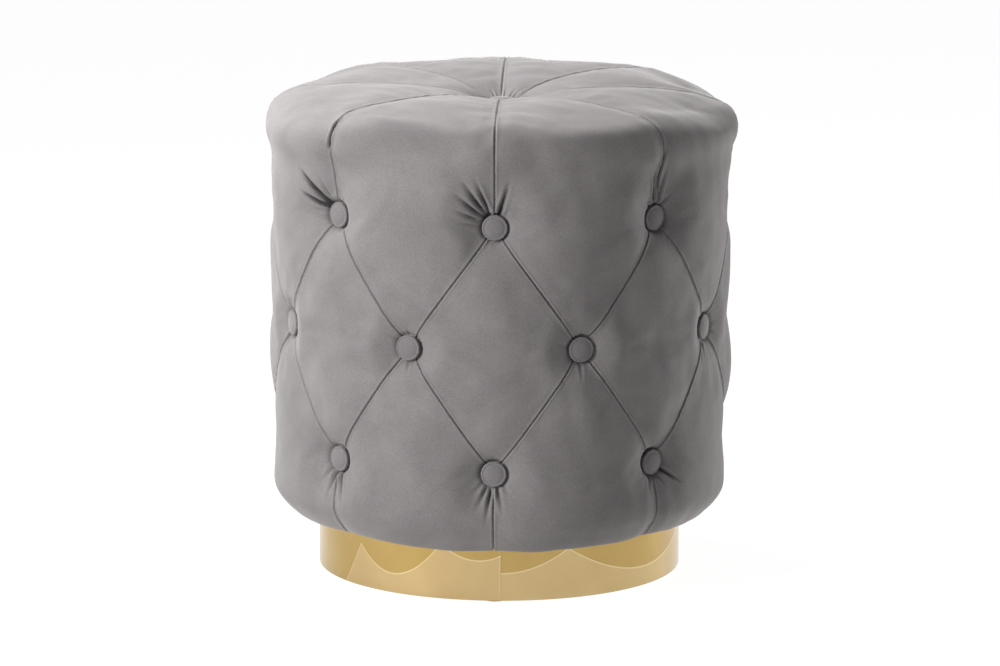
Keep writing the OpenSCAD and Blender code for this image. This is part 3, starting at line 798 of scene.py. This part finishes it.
def button_points(seed):
    """A covered button that faces +Z, with the cloth gathered round its rim."""
    random = np.random.default_rng(seed)
    turn = np.linspace(0, 2 * math.pi, BUTTON_SIDES, endpoint=False)
    gathers = np.mean([np.sin(turn * n + random.uniform(0, 2 * math.pi)) for n in BUTTON_FOLDS], axis=0)
    dent = random.uniform(0, 2 * math.pi)
    rings = []
    for r, z in BUTTON_PROFILE:
        past_rim = min(max((r - BUTTON_FACE_R) / BUTTON_EASE, 0), 1) if z > BUTTON_FACE_Z else 1
        out = r + BUTTON_FOLD_OUT * past_rim * gathers
        lean = BUTTON_LEAN * np.cos(turn - dent) * r / BUTTON_R
        up = z + lean + BUTTON_FOLD_UP * past_rim * gathers
        rings.append(np.stack([out * np.cos(turn), out * np.sin(turn), up], -1))
    faces = [*fan(0, 1, BUTTON_SIDES), *grid_faces(len(rings), BUTTON_SIDES, 1, closed=True)]
    return np.vstack([[[0, 0, BUTTON_CROWN]], *rings]), faces


def button_place(turn, r, z):
    """The matrix that takes a button from facing +Z to facing out at an angle from the front."""
    a = math.radians(turn)
    out = Vector((math.sin(a), -math.cos(a), 0))
    side = Vector((math.cos(a), math.sin(a), 0))
    up = Vector((0, 0, 1))
    place = Matrix((side, up, out)).transposed().to_4x4()
    place.translation = out * r + up * z
    return np.array(place)


def make_buttons(look):
    groups = [("top_button_cover", "top_button", [np.array(Matrix.Translation((0, 0, SEAT_FLOOR_Z)))])]
    for row, node in enumerate(ROW_NODES):
        turns = [ROW_TURNS[row] + k * PITCH for k in range(COLUMNS)]
        places = [button_place(turn, ROW_SEAT[row], ROW_Z[row]) for turn in turns]
        groups.append((f"{node}_covers", node, places))
    for group, (name, node, places) in enumerate(groups):
        parts = []
        for k, place in enumerate(places):
            points, faces = button_points(BUTTON_SEED + group * COLUMNS + k)
            parts.append((points @ place[:3, :3].T + place[:3, 3], faces))
        piece = new_piece(name, *joined(parts), look)
        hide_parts(node)


# Dust cloth, with its staples

# Each wave of the edge has a height, a count and a phase
CLOTH_RINGS = (20, 60, 100, 130, 145, 154, 158, 160, 161.5, 162.6, 163.2)
CLOTH_TURNS = 180
CLOTH_WAVES = ((0.35, 9, 1), (0.25, 23, 0))
CLOTH_WAVE_POWER = 8
CLOTH_RISE = 0.15
CLOTH_TURN_UP = 0.7

# The path of a staple is given by shares of half its width, and heights
STAPLES = 44
STAPLE_SEED = 31
STAPLE_R = 161
STAPLE_W = 9
STAPLE_T = 0.6
STAPLE_SUNK = 0.1
STAPLE_PATH = ((-1, 5), (-1, 0.5), (-0.93, 0), (0.93, 0), (1, 0.5), (1, 5))
STAPLE_PLAY = (-0.2, 0.2)
STAPLE_SKEW = (-0.25, 0.25)
STAPLE_R_PLAY = (-0.6, 0.4)
WIRE_SIDES = 8
UPRIGHT = 1e-3


def make_dust_cloth(look):
    """One sheet under the cushion, with its edge turned up."""
    turn = np.radians(np.arange(0, 360, 360 / CLOTH_TURNS))
    edge = sum(height * np.sin(turn * count + phase) for height, count, phase in CLOTH_WAVES)
    z = CLOTH_Z + CLOTH_RISE
    rings = [around(r + edge * (r / CLOTH_R) ** CLOTH_WAVE_POWER, turn, z) for r in CLOTH_RINGS]
    rings.append(rings[-1] + (0, 0, CLOTH_TURN_UP))
    quads = grid_faces(len(rings), CLOTH_TURNS, 1, closed=True)
    faces = [*flipped(fan(0, 1, CLOTH_TURNS)), *flipped(quads)]
    piece = new_piece("black_dust_cloth", np.vstack([[[0, 0, z]], *rings]), faces, look)
    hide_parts("dust_cloth")


def wire(path, radius):
    """Points and faces of a wire along a path in millimetres, closed at its ends."""
    along = np.gradient(path, axis=0)
    along /= np.linalg.norm(along, axis=1)[:, None]
    up = np.cross(along, (0, 0, 1))
    upright = np.linalg.norm(up, axis=1) < UPRIGHT
    up[upright] = np.cross(along[upright], (1, 0, 0))
    up /= np.linalg.norm(up, axis=1)[:, None]
    side = np.cross(along, up)
    turn = np.linspace(0, 2 * math.pi, WIRE_SIDES, endpoint=False)[:, None]
    rings = [p + radius * (np.cos(turn) * u + np.sin(turn) * v) for p, u, v in zip(path, up, side)]
    points = np.vstack(rings)
    index = np.arange(len(points))
    faces = [face[::-1] for face in grid_faces(len(path), WIRE_SIDES, closed=True)]
    return points, [*faces, index[:WIRE_SIDES], index[:-WIRE_SIDES - 1:-1]]


def make_staples(look):
    """Wire staples that hold the dust cloth and the hem to the drum."""
    random = np.random.default_rng(STAPLE_SEED)
    parts = []
    for k in range(STAPLES):
        turn = 2 * math.pi * (k + random.uniform(*STAPLE_PLAY)) / STAPLES
        lie = turn + random.uniform(*STAPLE_SKEW)
        r = STAPLE_R + random.uniform(*STAPLE_R_PLAY)
        centre = around(r, turn, CLOTH_Z - STAPLE_T / 2 + STAPLE_SUNK)
        run = np.array([math.cos(lie), math.sin(lie), 0]) * STAPLE_W / 2
        path = np.array([centre + run * share + (0, 0, rise) for share, rise in STAPLE_PATH])
        parts.append(wire(path, STAPLE_T / 2))
    piece = new_piece("dust_cloth_staples", *joined(parts), look)


# Gilt band

BAND_T = 0.8
BAND_EDGE = 0.35
BAND_JOINT_TURN = 2
BAND_JOINT = 0.4
BAND_STEPS = 720
BAND_ROWS = 13
BAND_EDGE_STEPS = 5
BAND_WAVE = 0.05
BAND_WAVES = Waves(seed=41, wavelength=120)


def make_band(look):
    """The thin band, with rounded edges and the faint waves of bent sheet."""
    half_gap = math.degrees(BAND_JOINT / 2 / BAND_R)
    ends = BAND_JOINT_TURN + half_gap, BAND_JOINT_TURN + 360 - half_gap
    turn = np.radians(np.linspace(*ends, BAND_STEPS))
    inner, low, high = BAND_R - BAND_T, BAND_Z + BAND_EDGE, BAND_TOP_Z - BAND_EDGE
    bend = np.radians(np.linspace(0, 90, BAND_EDGE_STEPS)[1:-1])
    edge_r = BAND_R - BAND_EDGE + BAND_EDGE * np.cos(bend)
    edge_z = BAND_EDGE * np.sin(bend)
    section = [*zip(edge_r, high + edge_z)][::-1]
    section += [(BAND_R, z) for z in np.linspace(high, low, BAND_ROWS)]
    section += [*zip(edge_r, low - edge_z), (inner, BAND_Z), (inner, BAND_TOP_Z)]
    rings = []
    for r, z in section:
        if r > inner:
            r = r + BAND_WAVE * (BAND_WAVES(around(r, turn, z)) - 1)
        rings.append(around(r, turn, z))
    points, faces = sleeve(rings, whole=False)
    index = np.arange(len(points)).reshape(len(rings), -1)
    piece = new_piece("gilt_band", points, [*faces, index[:, 0], index[::-1, -1]], look)
    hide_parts("base_band")


# Materials

class Look:
    """A material with a Principled shader, and short ways to add its nodes."""

    def __init__(self, slot, colour, roughness, **settings):
        self.slot = slot
        self.material = bpy.data.materials.new(slot)
        self.material.use_nodes = True
        self.tree = self.material.node_tree
        self.link = self.tree.links.new
        self.inputs = self.tree.nodes["Principled BSDF"].inputs
        self.inputs["Base Color"].default_value = (*colour, 1)
        self.inputs["Roughness"].default_value = roughness
        for key, value in settings.items():
            self.inputs[key].default_value = value
        self.place = self.tree.nodes.new("ShaderNodeTexCoord").outputs["Object"]

    def node(self, kind, inputs, **settings):
        """A new node. Each input, by its name or number, gets a link, a colour or a number."""
        node = self.tree.nodes.new(f"ShaderNode{kind}")
        for key, value in settings.items():
            setattr(node, key, value)
        for key, value in inputs.items():
            if isinstance(value, bpy.types.NodeSocket):
                self.link(value, node.inputs[key])
            elif hasattr(value, "__len__"):
                node.inputs[key].default_value = (*value, 1)
            else:
                node.inputs[key].default_value = value
        return node

    def stretched(self, x, y, z):
        """The place, stretched along the axes before a texture reads it."""
        mapping = self.node("Mapping", {"Vector": self.place})
        mapping.inputs["Scale"].default_value = (x, y, z)
        return mapping.outputs["Vector"]

    def noise(self, scale, detail=3, rough=0.5, place=None, distortion=0):
        inputs = {"Scale": scale, "Detail": detail, "Roughness": rough, "Distortion": distortion}
        return self.node("TexNoise", {"Vector": place or self.place, **inputs}).outputs["Fac"]

    def cells(self, scale):
        return self.node("TexVoronoi", {"Vector": self.place, "Scale": scale}).outputs["Distance"]

    def bands(self, scale, axis, distortion, place=None):
        inputs = {"Vector": place or self.place, "Scale": scale, "Distortion": distortion, "Detail": 2}
        return self.node("TexWave", inputs, bands_direction=axis).outputs["Fac"]

    def ramp(self, value, stops):
        """Colours or greys at places from 0 to 1."""
        node = self.node("ValToRGB", {"Fac": value})
        elements = node.color_ramp.elements
        while len(elements) < len(stops):
            elements.new(0.5)
        for element, (at, colour) in zip(elements, stops):
            element.position = at
            element.color = (*colour, 1) if hasattr(colour, "__len__") else (colour, colour, colour, 1)
        return node.outputs["Color"]

    def mixed(self, a, b, share, how="MIX"):
        """Two colours mixed. Their sockets share names with others, and so go by number."""
        inputs = {0: share, 6: a, 7: b}
        return self.node("Mix", inputs, data_type="RGBA", blend_type=how, clamp_result=False).outputs[2]

    def times(self, a, b, share=1.0):
        return self.mixed(a, b, share, "MULTIPLY")

    def maths(self, how, a, b=0.0):
        return self.node("Math", {0: a, 1: b}, operation=how).outputs[0]

    def paint(self, colour):
        self.link(colour, self.inputs["Base Color"])

    def rough(self, value, low, high):
        node = self.node("MapRange", {"Value": value, "To Min": low, "To Max": high})
        self.link(node.outputs["Result"], self.inputs["Roughness"])

    def bump(self, height, depth, strength):
        """Adds a bump of a depth in millimetres on those that are there already."""
        node = self.node("Bump", {"Height": height, "Strength": strength, "Distance": depth * MM})
        before = self.inputs["Normal"].links
        if before:
            self.link(before[0].from_socket, node.inputs["Normal"])
        self.link(node.outputs["Normal"], self.inputs["Normal"])


def velvet_look(name, dark, light, sheen):
    look = Look(name, dark, roughness=0.85, **{
        "Sheen Weight": sheen, "Sheen Roughness": 0.42, "Sheen Tint": (0.93, 0.91, 0.90, 1),
        "Specular IOR Level": 0.12,
    })
    brushed = look.noise(scale=17, rough=0.55, distortion=0.6)
    pile = look.noise(scale=900, detail=2)
    shade = look.times(look.ramp(brushed, [(0.32, dark), (0.68, light)]),
                       look.ramp(pile, [(0.3, 0.86), (0.7, 1.1)]))
    # Painted shade: the colour is darker in the valleys of pleats and creases, from the panels' attribute
    folds = look.node("Attribute", {}, attribute_name="painted_fold_shade").outputs["Fac"]
    look.paint(look.times(shade, look.ramp(folds, [(0, 1.0), (1, FOLD_SHADE)])))
    look.bump(look.noise(scale=1400, detail=2), depth=0.22, strength=0.5)
    look.bump(look.noise(scale=260), depth=0.14, strength=0.35)
    return look


# Painted shadows of the cushion on the band, scalloped under its hem, with painted bright edges: the middle
# of each as an angle from the front, half its width in degrees, and its depth in millimetres
SCALLOP_SHADOWS = ((-75, 30, 90), (-34, 18, 36), (-5, 14, 18), (54, 35, 36),
            (109, 21, 30), (149, 21, 30), (189, 21, 30), (229, 21, 30))
JOINT_SCALLOP = (BAND_JOINT_TURN, 26, 29)
SCALLOP_START = -110
SCALLOP_EDGE = 0.9
SCALLOP_HIGHLIGHT_SHARE = 0.7


def scallop_depth(maths, turn, middle, half, depth):
    """Depth below the cushion of one arc of painted shadow, over the angle from the front in degrees."""
    off = maths("DIVIDE", maths("SUBTRACT", turn, middle), half)
    arc = maths("SUBTRACT", 1.0, maths("MULTIPLY", off, off))
    return maths("MULTIPLY", maths("MAXIMUM", arc, 0.0), depth * MM)


def painted_scallop_masks(look):
    """Where the painted shadows on the band are, and where their painted bright edges are."""
    maths = look.maths
    x, y, z = look.node("SeparateXYZ", {0: look.place}).outputs
    turn = maths("MULTIPLY", maths("ARCTAN2", x, maths("MULTIPLY", y, -1.0)), math.degrees(1))
    turn = maths("MODULO", maths("ADD", turn, 360 - SCALLOP_START), 360)
    turn = maths("ADD", turn, SCALLOP_START)
    depth = scallop_depth(maths, turn, *JOINT_SCALLOP)
    depth = maths("MULTIPLY", depth, maths("GREATER_THAN", turn, BAND_JOINT_TURN))
    for scallop in SCALLOP_SHADOWS:
        depth = maths("MAXIMUM", depth, scallop_depth(maths, turn, *scallop))
    edge = maths("ADD", maths("SUBTRACT", z, CLOTH_Z * MM), depth)
    inside = maths("DIVIDE", edge, SCALLOP_EDGE * MM)
    painted_shadow = maths("MINIMUM", maths("MAXIMUM", inside, 0.0), 1.0)
    near_edge = maths("MAXIMUM", maths("SUBTRACT", 1.0, maths("ABSOLUTE", inside)), 0.0)
    return painted_shadow, maths("MULTIPLY", near_edge, maths("GREATER_THAN", depth, MM))


def gilt_look():
    look = Look("gilt_metal", (0.58, 0.42, 0.2), roughness=0.2, Metallic=1.0)
    stains = look.noise(scale=14, detail=4, rough=0.6)
    painted_shadow, rim = painted_scallop_masks(look)
    plain = look.ramp(stains, [(0.3, (0.485, 0.345, 0.16)), (0.7, (0.55, 0.41, 0.205))])
    # Painted shadow and highlight: darker, browner gilt in the scallops under the cushion, lighter along
    # their edges
    with_painted_shadow = look.mixed(plain, look.times(plain, (0.84, 0.79, 0.58)), painted_shadow)
    look.paint(look.mixed(with_painted_shadow, (0.74, 0.60, 0.34), look.maths("MULTIPLY", rim, SCALLOP_HIGHLIGHT_SHARE)))
    brushing = look.noise(scale=60, place=look.stretched(1, 1, 30))
    look.rough(look.mixed(stains, brushing, 0.5), low=0.16, high=0.27)
    look.bump(brushing, depth=0.02, strength=0.25)
    return look


def plywood_look():
    look = Look("plywood", (0.72, 0.56, 0.36), roughness=0.6)
    grain = look.noise(scale=9, detail=5, rough=0.62, place=look.stretched(18, 1.2, 1.2), distortion=0.4)
    face = look.ramp(grain, [(0.25, (0.60, 0.43, 0.25)), (0.5, (0.74, 0.57, 0.37)),
                             (0.8, (0.82, 0.67, 0.46))])
    plies = look.bands(scale=107, axis="Z", distortion=0.3)
    look.paint(look.times(face, look.ramp(plies, [(0.2, 0.72), (0.5, 1.0)]), share=0.6))
    look.rough(grain, low=0.5, high=0.72)
    look.bump(grain, depth=0.1, strength=0.5)
    return look


def softwood_look():
    look = Look("softwood", (0.66, 0.5, 0.31), roughness=0.6)
    rings = look.bands(scale=30, axis="X", distortion=5, place=look.stretched(1, 1, 0.12))
    fibre = look.noise(scale=160, place=look.stretched(6, 6, 0.4))
    tone = look.ramp(rings, [(0.1, (0.58, 0.40, 0.22)), (0.55, (0.74, 0.57, 0.35)),
                             (0.9, (0.79, 0.63, 0.41))])
    look.paint(look.times(tone, look.ramp(fibre, [(0.3, 0.85), (0.7, 1.08)])))
    look.rough(fibre, low=0.5, high=0.7)
    look.bump(fibre, depth=0.08, strength=0.5)
    return look


def hardboard_look():
    look = Look("hardboard", (0.3, 0.19, 0.11), roughness=0.55)
    fibres = look.noise(scale=420, detail=4, rough=0.7)
    look.paint(look.ramp(fibres, [(0.3, (0.19, 0.11, 0.06)), (0.55, (0.31, 0.20, 0.12)),
                                  (0.8, (0.42, 0.29, 0.18))]))
    look.bump(fibres, depth=0.06, strength=0.4)
    return look


def plated_look(name, dull, bright):
    look = Look(name, bright, roughness=0.34, Metallic=1.0)
    spangle = look.cells(scale=420)
    film = look.noise(scale=60)
    look.paint(look.ramp(look.mixed(spangle, film, 0.6), [(0.25, dull), (0.65, bright)]))
    look.rough(film, low=0.26, high=0.46)
    look.bump(look.noise(scale=900, detail=2), depth=0.02, strength=0.3)
    return look


def twine_look():
    look = Look("twine", (0.72, 0.68, 0.58), roughness=0.6, **{"Sheen Weight": 0.3})
    twist = look.bands(scale=420, axis="DIAGONAL", distortion=0.2)
    look.paint(look.ramp(twist, [(0.1, (0.52, 0.48, 0.39)), (0.6, (0.76, 0.72, 0.62))]))
    look.bump(twist, depth=0.2, strength=0.7)
    return look


def plastic_look():
    look = Look("black_plastic", (0.025, 0.025, 0.027), roughness=0.45)
    wear = look.noise(scale=70, detail=4, rough=0.65)
    look.paint(look.ramp(wear, [(0.4, (0.020, 0.020, 0.022)), (0.75, (0.045, 0.045, 0.047))]))
    look.rough(wear, low=0.4, high=0.62)
    look.bump(look.noise(scale=1100, detail=2), depth=0.05, strength=0.5)
    return look


def cloth_look():
    look = Look("black_cloth", (0.02, 0.02, 0.023), roughness=0.85, **{"Sheen Weight": 0.2})
    fibres = look.noise(scale=700, detail=4, rough=0.7, place=look.stretched(3, 1, 1))
    look.paint(look.ramp(fibres, [(0.35, (0.012, 0.012, 0.014)), (0.75, (0.05, 0.05, 0.055))]))
    look.bump(look.cells(scale=520), depth=0.12, strength=0.6)
    return look


def foam_look():
    look = Look("foam", (0.85, 0.79, 0.58), roughness=0.9)
    pores = look.cells(scale=650)
    look.paint(look.ramp(pores, [(0.1, (0.62, 0.55, 0.36)), (0.5, (0.87, 0.81, 0.61))]))
    look.bump(pores, depth=0.5, strength=0.8)
    return look


def repaint(look):
    """Gives a material to every CAD node of its slot in the record."""
    for part in frame["record"]["subparts"]:
        if part["material_slot"] == look.slot:
            materials = frame["nodes"][part["node"]].data.materials
            materials.clear()
            materials.append(look.material)


# Camera, floor and light

# The camera is fitted to the photograph, in its frame of 1000 by 666. Its distance and aim are in
# millimetres, and the rest here is in metres.
IMAGE_WIDTH = 1000
FOCAL_PIXELS = 6829
SENSOR_MM = 36
CAMERA_TURN = 1.51
CAMERA_ROLL = 0.27
CAMERA_ELEVATION = 11.47
CAMERA_DISTANCE = 6000
CAMERA_REACH = 60
AIM_X, AIM_Z = -0.2, 205.5
FLOOR_HALF = 6
FLOOR_FRONT, FLOOR_BACK, FLOOR_Z = -6, 14, -0.0004
FLOOR_GREY, FLOOR_GLOW = 0.08, 0.95
LIGHT_TARGET = Vector((0, 0, 0.25))


def make_camera():
    data = bpy.data.cameras.new("camera")
    data.sensor_fit = "HORIZONTAL"
    data.sensor_width = SENSOR_MM
    data.lens = FOCAL_PIXELS / IMAGE_WIDTH * SENSOR_MM
    data.clip_end = CAMERA_REACH
    camera = new_object("camera", data)
    bpy.context.scene.camera = camera
    e, roll = math.radians(CAMERA_ELEVATION), math.radians(CAMERA_ROLL)
    right, up = Vector((1, 0, 0)), Vector((0, math.sin(e), math.cos(e)))
    back = right.cross(up)
    aim = Vector((AIM_X, 0, AIM_Z)) * MM
    rolled_right = right * math.cos(roll) + up * math.sin(roll)
    rolled_up = up * math.cos(roll) - right * math.sin(roll)
    place = Matrix((rolled_right, rolled_up, back)).transposed().to_4x4()
    place.translation = aim + back * CAMERA_DISTANCE * MM
    camera.matrix_world = Matrix.Rotation(math.radians(CAMERA_TURN), 4, "Z") @ place


def make_floor():
    corners = [(-FLOOR_HALF, FLOOR_FRONT), (FLOOR_HALF, FLOOR_FRONT),
               (FLOOR_HALF, FLOOR_BACK), (-FLOOR_HALF, FLOOR_BACK)]
    mesh = bpy.data.meshes.new("floor")
    mesh.from_pydata([(x, y, FLOOR_Z) for x, y in corners], [], [(0, 1, 2, 3)])
    look = Look("floor", [FLOOR_GREY] * 3, roughness=0.8, **{
        "Emission Color": (1, 1, 1, 1), "Emission Strength": FLOOR_GLOW,
    })
    mesh.materials.append(look.material)
    new_object("floor", mesh)


def make_light(name, azimuth, elevation, distance, size, power):
    """A soft light that faces the pouf, with its azimuth in degrees from the front."""
    data = bpy.data.lights.new(name, "AREA")
    data.shape = "RECTANGLE"
    data.size, data.size_y = size
    data.energy = power
    a, e = math.radians(azimuth), math.radians(elevation)
    way = Vector((math.sin(a) * math.cos(e), -math.cos(a) * math.cos(e), math.sin(e)))
    place = LIGHT_TARGET + way * distance
    turn = (LIGHT_TARGET - place).to_track_quat("-Z", "Y")
    new_object(name, data).matrix_world = Matrix.Translation(place) @ turn.to_matrix().to_4x4()


def make_world(strength):
    world = bpy.data.worlds.new("studio")
    bpy.context.scene.world = world
    world.use_nodes = True
    background = world.node_tree.nodes["Background"]
    background.inputs["Color"].default_value = (1, 1, 1, 1)
    background.inputs["Strength"].default_value = strength


make_camera()
make_floor()
make_world(strength=0.14)
make_light("key", azimuth=-52, elevation=22, distance=2.6, size=(1.1, 1.3), power=97)
make_light("top", azimuth=-114, elevation=56, distance=0.95, size=(0.9, 0.7), power=18.5)
make_light("rim", azimuth=121, elevation=0, distance=2.6, size=(0.8, 0.8), power=60)
bpy.context.scene.view_settings.view_transform = "Standard"

velvet = velvet_look("velvet", dark=(0.138, 0.128, 0.129), light=(0.172, 0.160, 0.160), sheen=0.26)
button_velvet = velvet_look("button_velvet", dark=(0.125, 0.116, 0.118), light=(0.155, 0.144, 0.146),
                            sheen=0.35)
gilt = gilt_look()
zinc = plated_look("zinc_steel", dull=(0.52, 0.53, 0.55), bright=(0.74, 0.75, 0.77))
yellow_zinc = plated_look("yellow_zinc", dull=(0.60, 0.44, 0.20), bright=(0.80, 0.66, 0.36))
for look in (gilt, zinc, plywood_look(), softwood_look(), hardboard_look(), yellow_zinc, twine_look(),
             plastic_look()):
    repaint(look)

make_foam(foam_look())
make_panels(velvet, swell())
make_buttons(button_velvet)
make_dust_cloth(cloth_look())
make_staples(zinc)
make_band(gilt)
